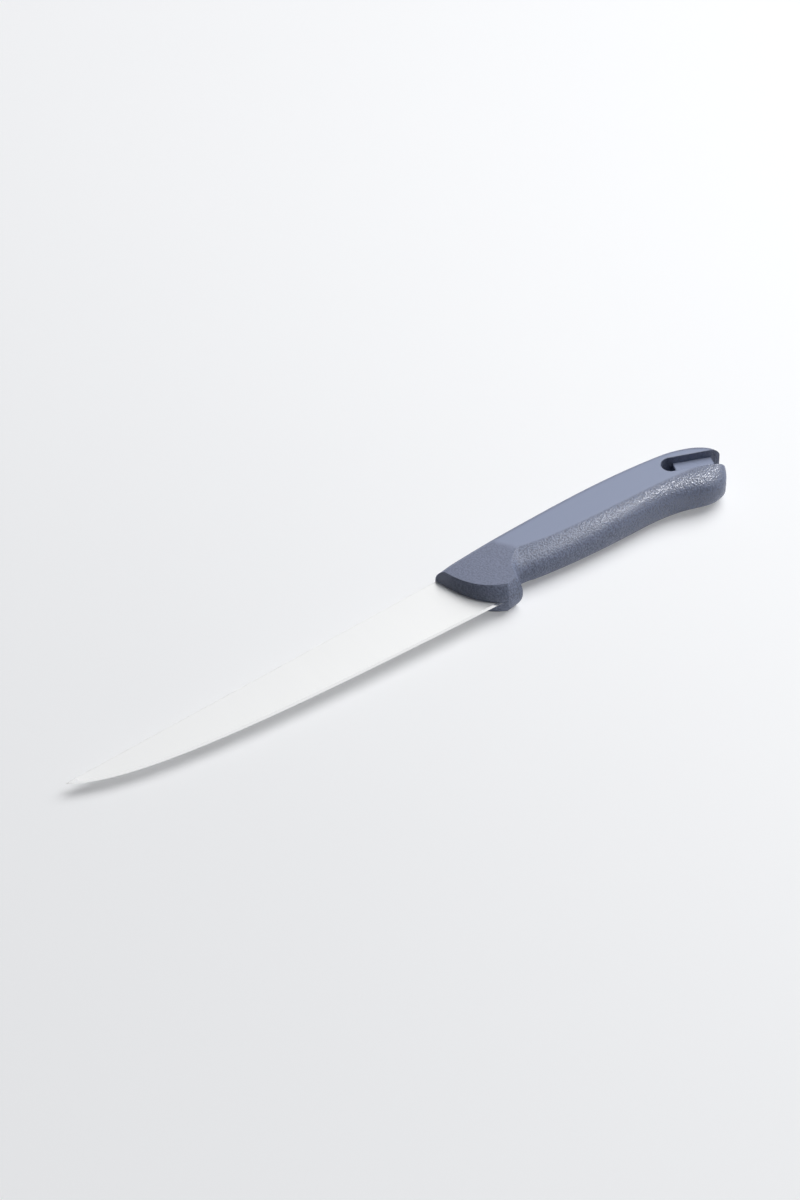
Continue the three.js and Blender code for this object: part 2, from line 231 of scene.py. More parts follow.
class RingLoft:
    """A skin grown ring by ring from a circle, each ring extruded and laid on its points."""

    def __init__(self, name: str, points: Sequence[Vector]) -> None:
        """Adds the circle and lays it on the first ring's points.

        Args:
            name: The object's name.
            points: The first ring, in order.
        """
        bpy.ops.object.select_all(action="DESELECT")
        bpy.ops.mesh.primitive_circle_add(vertices=len(points), radius=1.0, fill_type="NOTHING")
        self.piece = bpy.context.object
        self.piece.name = name
        bpy.ops.object.mode_set(mode="EDIT")
        bpy.ops.mesh.select_mode(type="VERT")
        bpy.ops.mesh.select_all(action="SELECT")
        self.skin = bmesh.from_edit_mesh(self.piece.data)
        self.ring = list(self.skin.verts)
        self._lay(points)

    def _lay(self, points: Sequence[Vector]) -> None:
        """Lays the newest ring on its points."""
        for vertex, point in zip(self.ring, points):
            vertex.co = point

    def select(self, numbers: Sequence[int]) -> None:
        """Selects some vertices of the newest ring, and nothing else.

        Args:
            numbers: Their places in the ring.
        """
        bpy.ops.mesh.select_all(action="DESELECT")
        for number in numbers:
            self.ring[number].select_set(True)
        self.skin.select_flush_mode()

    def grow(self, points: Sequence[Vector]) -> None:
        """Extrudes the newest ring and lays the new one on its points.

        Args:
            points: The new ring, in order.
        """
        bpy.ops.mesh.extrude_region_move()
        new_ring = []
        for vertex in self.ring:
            others = [edge.other_vert(vertex) for edge in vertex.link_edges]
            new_ring.extend(other for other in others if other.select)
        self.ring = new_ring
        self._lay(points)

    def grow_capped(self, rings: Sequence[Sequence[Vector]]) -> None:
        """Fills the newest ring and grows the skin on from it.

        Args:
            rings: The rings that follow.
        """
        self.cap()
        self.select(range(len(self.ring)))
        for ring in rings:
            self.grow(ring)

    def bridge(self, first: int, second: int) -> None:
        """Draws an edge across the newest ring between two of its vertices."""
        self.select((first, second))
        bpy.ops.mesh.edge_face_add()

    def fill(self, numbers: Sequence[int]) -> None:
        """Fills the face inside some vertices of the newest ring."""
        self.select(numbers)
        bpy.ops.mesh.edge_face_add()

    def cap(self) -> None:
        """Fills the whole newest ring."""
        self.fill(range(len(self.ring)))

    def point(self) -> None:
        """Draws the newest ring together in one point."""
        self.select(range(len(self.ring)))
        bpy.ops.mesh.merge(type="CENTER")

    def finish(self) -> bpy.types.Object:
        """Leaves edit mode with the faces pointing out.

        Returns:
            The finished object.
        """
        bpy.ops.mesh.select_all(action="SELECT")
        bpy.ops.mesh.normals_make_consistent(inside=False)
        bpy.ops.object.mode_set(mode="OBJECT")
        return self.piece


def plate(name: str, outline: Sequence[Vector], half: float) -> bpy.types.Object:
    """Makes a flat plate that lies evenly on both sides of the mid-plane.

    Args:
        name: The object's name.
        outline: The plate's outline in plan.
        half: Half the plate's thickness.

    Returns:
        The plate.
    """
    loft = RingLoft(name, [Vector((x, y, -half)) for x, y in outline])
    loft.grow_capped([[Vector((x, y, half)) for x, y in outline]])
    loft.cap()
    return loft.finish()


class PlanCurve:
    """A cubic curve in plan, read by its length, so that even shares lie evenly along it."""

    SAMPLES = 400

    def __init__(self, *corners: Vector) -> None:
        """Keeps the curve's corner points and measures its length.

        Args:
            *corners: Its start, the two points that pull it, and its end.
        """
        self.corners = corners
        self.points = [self.raw(i / self.SAMPLES) for i in range(self.SAMPLES + 1)]
        self.lengths = [0.0]
        for before, after in zip(self.points, self.points[1:]):
            self.lengths.append(self.lengths[-1] + (after - before).length)

    @property
    def length(self) -> float:
        """The curve's whole length."""
        return self.lengths[-1]

    def raw(self, t: float) -> Vector:
        """Reads the curve at its own parameter.

        Args:
            t: The parameter, from 0 to 1.

        Returns:
            The point in plan.
        """
        start, first, second, end = self.corners
        u = 1 - t
        return start * u**3 + first * (3 * u * u * t) + second * (3 * u * t * t) + end * t**3

    def parameter(self, share: float) -> float:
        """Finds the curve's own parameter at a share of its length.

        Args:
            share: Where along the curve's length.

        Returns:
            The parameter, from 0 to 1.
        """
        goal = share * self.length
        after = min(max(bisect.bisect_left(self.lengths, goal), 1), self.SAMPLES)
        low, high = self.lengths[after - 1], self.lengths[after]
        return (after - 1 + (goal - low) / (high - low)) / self.SAMPLES

    def at(self, share: float) -> Vector:
        """The point at a share of the length."""
        return self.raw(self.parameter(share))

    def inset(self, share: float, distance: float) -> Vector:
        """The point set in to the right of the curve, square to it.

        Args:
            share: Where along the curve's length.
            distance: How far from the curve.

        Returns:
            The point in plan.
        """
        start, first, second, end = self.corners
        t = self.parameter(share)
        u = 1 - t
        along = (first - start) * (u * u)
        along += (second - first) * (2 * u * t)
        along += (end - second) * (t * t)
        along.normalize()
        return self.at(share) + Vector((along.y, -along.x)) * distance


def plan(x: float, y: float) -> Vector:
    """A point in the knife's plan."""
    return Vector((x, y))


# Pieces of the knife, in millimetres, with x from the handle's front and y from the blade's spine


@dataclass(frozen=True)
class Column:
    """One upright line of the handle's rim, from the side face to the parting plane."""

    face: Vector
    rim: Vector
    round_height: float
    # How full the round is, by the side face and by the wall
    power: float
    wall_power: float = 2.0


@dataclass
class Handle:
    """The moulded handle, with bolster, guard, grip, clip slot and hanging hole."""

    # Along the handle, from its front
    crease_spine: float = 29.4
    crease_belly: float = 32.9
    spine_crown_at: float = 47.0
    butt_spine_at: float = 112.2
    butt_belly_at: float = 120.0
    grip_middle: float = 87.0
    recess_at: float = 27.0

    # Across the handle, from the blade's spine
    front_rise: float = 0.3
    spine_crown: float = 1.0
    butt_spine_drop: float = 3.0
    butt_depth: float = 30.0
    grip_depth: float = 23.5
    grip_front_depth: float = 22.3
    recess_depth: float = 19.2
    facet_rear_depth: float = 13.5
    facet_front_depth: float = 16.5
    crease_depth: float = 8.7

    # Guard corners
    guard_front_at: float = 15.3
    guard_back_at: float = 22.9
    guard_front_depth: float = 26.5
    guard_back_depth: float = 25.7

    # Half thicknesses
    facet_half_front: float = 7.5
    facet_half_butt: float = 8.5
    bolster_half_front: float = 6.2

    # Rounds between side face and rim, and their profile powers
    spine_round: float = 3.3
    butt_round: float = 3.9
    belly_round: float = 12.0
    butt_round_share: float = 0.12
    butt_corner_spread: float = 0.2
    guard_round: float = 2.6
    front_round: float = 1.5
    beak_setback: float = 2.6
    beak_round: float = 4.8
    beak_share: float = 0.25
    parting_land: float = 0.4
    soft_power: float = 2.0
    belly_wall_power: float = 2.6
    front_power: float = 1.1
    crease_power: float = 1.45
    recess_power: float = 1.8
    spine_power: float = 2.6

    # Pulls of the curves
    butt_spine_pull: float = 11.2
    butt_upper_pull: float = 10.0
    butt_lower_pull: float = 4.5
    butt_belly_pull: float = 7.5
    front_low_setback: float = 0.4
    front_low_depth: float = 0.83
    front_high_setback: float = 0.15
    front_high_depth: float = 0.42
    flare_pull: float = 0.24
    grip_rear_pull: float = 0.7
    grip_front_pull: float = 0.4
    recess_rear_pull: float = 0.3
    recess_pull: float = 0.35
    guard_back_pull: float = 0.85
    facet_rear_pull: float = 0.12
    facet_front_pull: float = 0.23

    # Clip slot and hanging hole
    slot_width: float = 7.9
    slot_turn: float = math.radians(-23.9)
    slot_at: float = 110.9
    slot_depth: float = 11.3
    slot_reach: float = 22.2
    butt_turn: float = math.radians(-34)
    hang_hole_straight: float = 2.0
    bridge_length: float = 16.4
    bridge_drop: float = 3.5

    # Eased edges and the fine ridge that the mould's parting line leaves
    edge_ease: float = 0.45
    slot_ease: float = 0.4
    bridge_ease: float = 0.45
    ridge_half: float = 0.16
    ridge_height: float = 0.07
    sharp_angle: float = 32.0

    # Room round the blade and its tang
    pocket_gap: float = 0.05

    # The hollow behind the guard: how its shoulder bows, and how far and how much it is smoothed
    shoulder_bow_front: float = 2.0
    shoulder_bow_up: float = 1.6
    shoulder_turn_share: float = 0.4
    recess_soften: float = 5.5
    recess_smoothing: float = 0.5
    recess_passes: int = 30

    # Grain, from 0 on the smooth facets to 1 on the belly, and where it starts and is full; it also
    # sets the painted shade of the colour
    bolster_grain_and_shade: float = 0.5
    bolster_fade: float = 3.0
    spine_grain_and_shade: float = 0.25
    grain_start_depth: float = 4.05
    grain_full_depth: float = 10.8
    grain_edge: float = 0.12

    # Slacks that tell the side faces and the slot from the rest
    bolster_normal: float = 0.9
    bolster_slack: float = 0.12
    facet_slack: float = 0.002
    slot_slack: float = 0.1

    # Mesh steps
    bolster_steps: int = 26
    spine_steps: int = 64
    butt_steps: int = 48
    grip_rear_steps: int = 46
    grip_front_steps: int = 84
    recess_steps: int = 36
    guard_steps: int = 12
    front_steps: int = 48
    valley_steps: int = 20
    round_steps: int = 22
    ease_steps: int = 4
    arc_steps: int = 24
    bolster_grid: float = 2.2
    overcut: float = 5.0

    @property
    def taper(self) -> float:
        """How much the half thickness grows along the grip, for each millimetre."""
        length = self.butt_spine_at - self.crease_spine
        return (self.facet_half_butt - self.facet_half_front) / length

    def facet_half(self, x: float) -> float:
        """Half thickness of the flat side facet."""
        return self.facet_half_front + self.taper * (x - self.crease_spine)

    def spine_line(self, x: float) -> float:
        """Follows the handle's spine up to its crown and down to the butt.

        Args:
            x: The place along the handle.

        Returns:
            The height there, from the blade's spine.
        """
        if x < self.spine_crown_at:
            share = (self.spine_crown_at - x) / self.spine_crown_at
            return self.spine_crown - (self.spine_crown - self.front_rise) * share**2
        share = (x - self.spine_crown_at) / (self.butt_spine_at - self.spine_crown_at)
        fall = self.spine_crown + self.butt_spine_drop
        return self.spine_crown - fall * share**self.spine_power

    @property
    def crease_top(self) -> Vector:
        """The end of the crease by the spine."""
        return plan(self.crease_spine, self.spine_line(self.crease_spine) - self.spine_round)

    @property
    def crease_end(self) -> Vector:
        """The end of the crease by the belly."""
        return plan(self.crease_belly, -self.crease_depth)

    @property
    def front_top(self) -> Vector:
        """The front corner of the bolster's face, by the spine."""
        return plan(self.beak_setback, self.front_rise - self.spine_round)

    @property
    def recess(self) -> Vector:
        """The top of the finger recess, at the parting plane."""
        return plan(self.recess_at, -self.recess_depth)

    @property
    def butt_low(self) -> Vector:
        """Where the round butt meets the belly, at the parting plane."""
        return plan(self.butt_belly_at, -self.butt_depth)

    @property
    def guard_front(self) -> Vector:
        """The guard's front corner, at the parting plane."""
        return plan(self.guard_front_at, -self.guard_front_depth)

    @property
    def guard_back(self) -> Vector:
        """The guard's rear corner, at the parting plane."""
        return plan(self.guard_back_at, -self.guard_back_depth)

    @property
    def guard_front_face(self) -> Vector:
        """The front corner of the guard's face."""
        return plan(
            self.guard_front_at + self.front_round, self.guard_round - self.guard_front_depth
        )

    @property
    def guard_back_face(self) -> Vector:
        """The rear corner of the guard's face."""
        return plan(
            self.guard_back_at - self.front_round, self.guard_round - self.guard_back_depth
        )

    def from_crease(self, point: Vector) -> tuple[float, float]:
        """Where a point lies against the crease.

        Args:
            point: A point in plan.

        Returns:
            Its place along the crease and its distance in front of it.
        """
        along = (self.crease_end - self.crease_top).normalized()
        away = point - self.crease_top
        return away.dot(along), away.x * along.y - away.y * along.x

    def side_half(self, point: Vector) -> float:
        """Half thickness at a point of the facet, or of the bolster in front of it.

        Args:
            point: A point in plan.

        Returns:
            The side face's distance from the mid-plane.
        """
        top_along, top_front = self.from_crease(self.front_top)
        low_along, _ = self.from_crease(self.guard_front_face)
        along, front = self.from_crease(point)
        rate = (self.facet_half(self.front_top.x) - self.bolster_half_front) / top_front
        fall = max(0.0, (low_along - along) / (low_along - top_along))
        return self.facet_half(point.x) - max(0.0, front) * rate * fall

    def front_curve(self) -> PlanCurve:
        """The handle's front at the parting plane, from the guard up to the spine."""
        at, depth = self.guard_front_at, self.guard_front_depth
        return PlanCurve(
            self.guard_front,
            plan(at * self.front_low_setback, -depth * self.front_low_depth),
            plan(at * self.front_high_setback, -depth * self.front_high_depth),
            plan(0, self.front_rise),
        )

    def front_at(self, y: float) -> float:
        """How far behind the beak the handle's front lies at a height y."""
        return min(self.front_curve().points, key=lambda point: abs(point.y - y)).x

    def slot_point(self, along: float, across: float) -> Vector:
        """A point in plan, from its place along and across the clip slot."""
        turned = Matrix.Rotation(self.slot_turn, 2) @ plan(along, across)
        return turned + plan(self.slot_at, -self.slot_depth)

    def spine_columns(self) -> list[Column]:
        """Draws the rim along the spine.

        Returns:
            Columns from the beak to the start of the round butt.
        """
        columns = []
        for share in shares(self.bolster_steps):
            x = self.crease_spine * share
            height = lerp(self.beak_round, self.spine_round, smooth(share, 0, self.beak_share))
            face = self.front_top.lerp(self.crease_top, share)
            columns.append(Column(face, plan(x, self.spine_line(x)), height, self.soft_power))
        for share in shares(self.spine_steps):
            x = lerp(self.crease_spine, self.butt_spine_at, share)
            y = self.spine_line(x)
            face = plan(x, y - self.spine_round)
            columns.append(Column(face, plan(x, y), self.spine_round, self.soft_power))
        return columns

    def butt_curves(self) -> tuple[PlanCurve, PlanCurve]:
        """Draws the round butt at the parting plane.

        Returns:
            Its curves from the spine to its end, and on to the belly.
        """
        end = self.slot_point(self.slot_reach, 0)
        square = Matrix.Rotation(self.butt_turn, 2) @ plan(0, 1)
        slope = -self.spine_power * (self.spine_crown + self.butt_spine_drop)
        slope /= self.butt_spine_at - self.spine_crown_at
        top = plan(self.butt_spine_at, -self.butt_spine_drop)
        low = self.butt_low
        upper = PlanCurve(
            top,
            top + plan(1, slope) * self.butt_spine_pull,
            end + square * self.butt_upper_pull,
            end,
        )
        lower = PlanCurve(
            end,
            end - square * self.butt_lower_pull,
            low + plan(self.butt_belly_pull, 0),
            low,
        )
        return upper, lower

    def butt_columns(self) -> list[Column]:
        """Draws the rim round the butt.

        Returns:
            Columns from the spine to the belly.
        """
        upper, lower = self.butt_curves()
        columns = []
        for share in shares(self.butt_steps):
            depth = lerp(self.spine_round, self.butt_round, share)
            face = upper.inset(share, depth)
            columns.append(Column(face, upper.at(share), depth, self.soft_power))
        butt_face, belly_face = lower.inset(0, self.butt_round), lower.inset(1, self.belly_round)
        for share in shares(self.butt_steps):
            turn = smooth(share, self.butt_round_share, 1)
            face = butt_face.lerp(belly_face, lerp(turn, share, self.butt_corner_spread))
            height = lerp(self.butt_round, self.side_half(face), turn)
            wall = lerp(self.soft_power, self.belly_wall_power, turn)
            columns.append(Column(face, lower.at(share), height, self.soft_power, wall))
        return columns

    def belly_columns(self) -> list[Column]:
        """Draws the rim along the belly.

        Returns:
            Columns from the butt to the finger recess.
        """
        _, lower = self.butt_curves()
        low, recess = self.butt_low, self.recess
        level = plan(self.grip_middle, -self.grip_depth)
        grip_reach = self.grip_middle - self.recess_at
        rear = PlanCurve(
            low,
            plan(lerp(low.x, level.x, self.flare_pull), low.y),
            plan(lerp(level.x, low.x, self.grip_rear_pull), level.y),
            level,
        )
        front = PlanCurve(
            level,
            plan(level.x - grip_reach * self.grip_front_pull, level.y),
            plan(recess.x + grip_reach * self.recess_rear_pull, -self.grip_front_depth),
            recess,
        )
        facet_line = PlanCurve(
            lower.inset(1, self.belly_round),
            plan(lerp(level.x, low.x, self.facet_rear_pull), -self.facet_rear_depth),
            plan(self.crease_belly + grip_reach * self.facet_front_pull, -self.facet_front_depth),
            self.crease_end,
        )
        columns = []
        passed = 0.0
        for curve, steps in ((rear, self.grip_rear_steps), (front, self.grip_front_steps)):
            for share in shares(steps):
                way = (passed + share * curve.length) / (rear.length + front.length)
                face = facet_line.at(way)
                power = lerp(self.soft_power, self.crease_power, smooth(way, 0, 1))
                tall = self.side_half(face)
                rim = curve.at(share)
                columns.append(Column(face, rim, tall, power, self.belly_wall_power))
            passed += curve.length
        return columns

    def front_columns(self) -> list[Column]:
        """Draws the rim round the guard and up the front.

        Returns:
            Columns from the finger recess to the beak.
        """
        recess, guard_back, guard_front = self.recess, self.guard_back, self.guard_front
        recess_curve = PlanCurve(
            recess,
            plan(lerp(recess.x, guard_back.x, self.recess_pull), recess.y),
            plan(lerp(recess.x, guard_back.x, self.guard_back_pull), recess.y),
            guard_back,
        )
        middle = self.crease_end.lerp(self.guard_back_face, 0.5)
        middle += plan(-self.shoulder_bow_front, self.shoulder_bow_up)
        shoulder = PlanCurve(self.crease_end, middle, middle, self.guard_back_face)
        columns = []
        for share in shares(self.recess_steps):
            face = shoulder.at(share)
            turn = smooth(share, self.shoulder_turn_share, 1)
            power = lerp(self.recess_power, self.front_power, turn)
            wall = lerp(self.belly_wall_power, self.soft_power, share)
            columns.append(Column(face, recess_curve.at(share), self.side_half(face), power, wall))
        for share in shares(self.guard_steps):
            face = self.guard_back_face.lerp(self.guard_front_face, share)
            rim = guard_back.lerp(guard_front, share)
            columns.append(Column(face, rim, self.side_half(face), self.front_power))
        front = self.front_curve()
        _, low_pull, high_pull, _ = front.corners
        front_face = PlanCurve(
            self.guard_front_face,
            low_pull + plan(self.front_round, self.guard_round),
            high_pull + plan(self.front_round, 0),
            self.front_top,
        )
        for share in shares(self.front_steps):
            face = front_face.at(share)
            columns.append(Column(face, front.at(share), self.side_half(face), self.front_power))
        return columns

    def profile(self, column: Column) -> list[Vector]:
        """The points of one column, from the parting plane up to the side face.

        The edge between round and side face is eased, and the parting plane has a fine ridge.

        Args:
            column: The column.

        Returns:
            Points with x and y in plan and z from the mid-plane.
        """
        reach = (column.rim - column.face).length
        out = (column.rim - column.face) / reach
        half = self.side_half(column.face)
        height = min(column.round_height, half - self.parting_land)
        # The round, as a quarter of an oval whose fullness follows the column's powers
        drawn = []
        for i in range(self.round_steps + 1):
            angle = math.pi / 2 * i / self.round_steps
            distance = reach * math.sin(angle) ** (2 / column.power)
            fall = 1 - max(0.0, math.cos(angle)) ** (2 / column.wall_power)
            drawn.append(Vector((distance, half - height * fall)))
        # The eased edge, which runs from the side face to a point of the round
        ease = self.edge_ease
        before = Vector((-ease, self.side_half(column.face - out * ease)))
        after = drawn[-1]
        lengths = [0.0]
        for start, end in zip(drawn, drawn[1:]):
            step = (end - start).length
            if lengths[-1] < ease <= lengths[-1] + step:
                after = start.lerp(end, (ease - lengths[-1]) / step)
            lengths.append(lengths[-1] + step)

        def eased(place: float) -> Vector:
            """A point of the eased edge, from its distance past the sharp edge."""
            t = (place + ease) / (2 * ease)
            return before * (1 - t) ** 2 + drawn[0] * (2 * t * (1 - t)) + after * t**2

        line = [eased(-ease * (1 - i / self.ease_steps)) for i in range(self.ease_steps)]
        line += [eased(place) if place < ease else point for place, point in zip(lengths, drawn)]
        line.append(Vector((reach, self.ridge_half)))
        line.append(Vector((reach + self.ridge_height, 0)))
        return [(column.face + out * s).to_3d() + Vector((0, 0, z)) for s, z in reversed(line)]

    def shell(self) -> bpy.types.Object:
        """Grows the handle from the parting plane to the side face, and mirrors it.

        Returns:
            The closed outer form.
        """
        spine, butt = self.spine_columns(), self.butt_columns()
        belly, front = self.belly_columns(), self.front_columns()
        columns = spine + butt + belly + front
        lines = [self.profile(column) for column in columns]
        loft = RingLoft("moulded_handle", [line[0] for line in lines])
        for ring in range(1, len(lines[0])):
            loft.grow([line[ring] for line in lines])
        crease_start = self.bolster_steps
        crease_stop = len(spine) + len(butt) + len(belly)
        loft.bridge(crease_start, crease_stop)
        loft.fill(range(crease_start, crease_stop + 1))
        loft.fill([*range(crease_stop, len(columns)), *range(crease_start + 1)])
        self.grid_bolster(loft)
        piece = loft.finish()
        apply_modifier(
            piece,
            "MIRROR",
            use_axis=(False, False, True),
            use_mirror_merge=True,
            merge_threshold=WELD,
        )
        return piece

    def grid_bolster(self, loft: RingLoft) -> None:
        """Cuts the bolster's face into a grid and lays the grid on the face's gentle twist.

        Args:
            loft: The open upper half of the handle, in edit mode.
        """
        skin = loft.skin
        low, high = self.front_top.x, self.crease_belly
        for axis, start, end in ((0, low, high), (1, -self.guard_front_depth, 0.0)):
            place = start + self.bolster_grid
            while place < end:
                bpy.ops.mesh.select_all(action="DESELECT")
                for face in skin.faces:
                    centre = face.calc_center_median()
                    level = face.normal.z > self.bolster_normal and self.on_side(centre)
                    if level and self.from_crease(centre.to_2d())[1] > 0:
                        face.select_set(True)
                point, normal = [0.0, 0.0, 0.0], [0.0, 0.0, 0.0]
                point[axis], normal[axis] = place, 1.0
                bpy.ops.mesh.bisect(plane_co=point, plane_no=normal, threshold=WELD)
                place += self.bolster_grid
        for vertex in skin.verts:
            if self.on_side(vertex.co):
                vertex.co.z = self.side_half(vertex.co.to_2d())

    def on_side(self, point: Vector) -> bool:
        """Tells whether a point lies on a side face, with a slack for the bolster's twist.

        Args:
            point: A point of the surface.

        Returns:
            Whether it lies on a facet or on the bolster's face.
        """
        in_front = self.from_crease(point.to_2d())[1] > self.edge_ease
        slack = self.bolster_slack if in_front else self.facet_slack
        return abs(point.z) > self.side_half(point.to_2d()) - slack

    def soften_recess(self, piece: bpy.types.Object) -> None:
        """Smooths the hollow where the finger recess runs into the belly below the crease's end.

        Args:
            piece: The handle's mirrored outer form.
        """
        select_only(piece)
        bpy.ops.object.mode_set(mode="EDIT")
        bpy.ops.mesh.select_mode(type="VERT")
        bpy.ops.mesh.select_all(action="DESELECT")
        skin = bmesh.from_edit_mesh(piece.data)
        valley = PlanCurve(self.crease_end, self.crease_end, self.recess, self.recess)
        points = [valley.at(share) for share in (*shares(self.valley_steps), 1.0)]
        for vertex in skin.verts:
            near = min((vertex.co.to_2d() - point).length for point in points)
            vertex.select_set(near < self.recess_soften and not self.on_side(vertex.co))
        skin.select_flush_mode()
        bpy.ops.mesh.vertices_smooth(
            factor=self.recess_smoothing, repeat=self.recess_passes, zaxis=False
        )
        bpy.ops.object.mode_set(mode="OBJECT")

    def slot_tool(self) -> bpy.types.Object:
        """Makes the solid that cuts the clip slot, with eased mouths and without the bridge.

        Returns:
            The cutting solid.
        """
        radius = self.slot_width / 2
        levels = [(-self.overcut, self.slot_ease)]
        for i in range(self.ease_steps + 1):
            angle = math.pi / 2 * i / self.ease_steps
            drop, grown = 1 - math.cos(angle), 1 - math.sin(angle)
            levels.append((self.slot_ease * drop, self.slot_ease * grown))
        rings = []
        for side, order in ((-1, levels), (1, list(reversed(levels)))):
            for drop, grown in order:
                ring = []
                for i in range(self.arc_steps + 1):
                    angle = math.pi / 2 + math.pi * i / self.arc_steps
                    wide = radius + grown
                    ring.append(self.slot_point(wide * math.cos(angle), wide * math.sin(angle)))
                length = self.slot_reach + self.overcut
                ring.append(self.slot_point(length, -radius - grown))
                ring.append(self.slot_point(length, radius + grown))
                heights = [side * (self.facet_half(point.x) - drop) for point in ring]
                rings.append([Vector((*point, z)) for point, z in zip(ring, heights)])
        loft = RingLoft("slot", rings[0])
        loft.grow_capped(rings[1:])
        loft.cap()
        tool = loft.finish()
        join_solids(tool, self.clip_bridge(), Join.CUT)
        return tool

    def clip_bridge(self) -> bpy.types.Object:
        """Makes the bridge across the slot that a colour clip sits on, with its ends eased.

        Returns:
            The bridge.
        """
        bpy.ops.object.select_all(action="DESELECT")
        bpy.ops.mesh.primitive_cube_add(size=1)
        piece = bpy.context.object
        height = 2 * (self.facet_half(self.slot_at) - self.bridge_drop)
        size = Vector((self.bridge_length, self.slot_width + self.overcut, height))
        middle = self.slot_point(self.hang_hole_straight + self.bridge_length / 2, 0).to_3d()
        turn = Matrix.Rotation(self.slot_turn, 4, "Z")
        place = Matrix.Translation(middle) @ turn @ Matrix.Diagonal(size).to_4x4()
        bpy.ops.object.mode_set(mode="EDIT")
        bpy.ops.mesh.select_mode(type="EDGE")
        bpy.ops.mesh.select_all(action="DESELECT")
        skin = bmesh.from_edit_mesh(piece.data)
        across = (Matrix.Rotation(self.slot_turn, 2) @ plan(0, 1)).to_3d()
        skin.transform(place)
        for edge in skin.edges:
            direction = (edge.verts[0].co - edge.verts[1].co).normalized()
            edge.select_set(abs(direction.dot(across)) > SAME_WAY)
        bpy.ops.mesh.bevel(offset=self.bridge_ease, segments=self.ease_steps, affect="EDGES")
        bpy.ops.object.mode_set(mode="OBJECT")
        return piece

    def build(self, pocket: bpy.types.Object, place: Matrix) -> bpy.types.Object:
        """Builds the handle in place.

        Args:
            pocket: The solid that cuts the room for the blade and its tang.
            place: From the knife's drawing to the shared frame.

        Returns:
            The finished mesh object.
        """
        piece = self.shell()
        self.soften_recess(piece)
        join_solids(piece, self.slot_tool(), Join.CUT)
        join_solids(piece, pocket, Join.CUT)
        self.mark_grain(piece)
        settle(piece, self.sharp_angle, place)
        return piece

    def mark_grain(self, piece: bpy.types.Object) -> None:
        """Writes the mould's grain, from the smooth facets and bridge to the coarse belly, which
        also sets the colour's painted shade.

        Args:
            piece: The handle, still in its own drawing.
        """
        mesh = piece.data
        layer = mesh.attributes.new(GRAIN_AND_SHADE_LAYER, "FLOAT", "CORNER")
        for polygon in mesh.polygons:
            middle = polygon.center
            level = abs(polygon.normal.z) > SAME_WAY
            flat = level and (self.on_side(middle) or self.in_slot(middle.to_2d()))
            for corner in polygon.loop_indices:
                point = mesh.vertices[mesh.loops[corner].vertex_index].co
                layer.data[corner].value = self.grain_at(point, flat)

    def grain_at(self, point: Vector, flat: bool) -> float:
        """How coarse the grain is at a point, which also sets how much painted shade the colour
        takes there.

        Args:
            point: A point of the surface.
            flat: Whether it belongs to a side face or to the top of the bridge.

        Returns:
            From 0 on the smooth facet, through a half on the bolster, to 1 on the belly.
        """
        _, front = self.from_crease(point.to_2d())
        face = self.bolster_grain_and_shade * smooth(front, 0.0, self.bolster_fade)
        if flat:
            return face
        drop = self.side_half(point.to_2d()) - abs(point.z)
        belly = smooth(-point.y, self.grain_start_depth, self.grain_full_depth)
        return lerp(face, lerp(self.spine_grain_and_shade, 1.0, belly), smooth(drop, 0.0, self.grain_edge))

    def in_slot(self, point: Vector) -> bool:
        """Tells whether a point lies in the clip slot or on its walls.

        Args:
            point: A point in plan.

        Returns:
            Whether it lies within the slot's width, from its inner end to the butt.
        """
        start = self.slot_point(0, 0)
        away = point - start
        along = away.dot(self.slot_point(1, 0) - start)
        across = away.dot(self.slot_point(0, 1) - start)
        return along > -self.slot_width and abs(across) < self.slot_width / 2 + self.slot_slack

    def dress(self, piece: bpy.types.Object, finish: "MouldedPolypropylene") -> None:
        """Gives the handle its finish and ties it to the frame.

        Args:
            piece: The handle's mesh object.
            finish: The plastic's finish.
        """
        piece.data.materials.clear()
        piece.data.materials.append(finish.material())
        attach(piece, "root")
        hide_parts(Node.HANDLE.value)


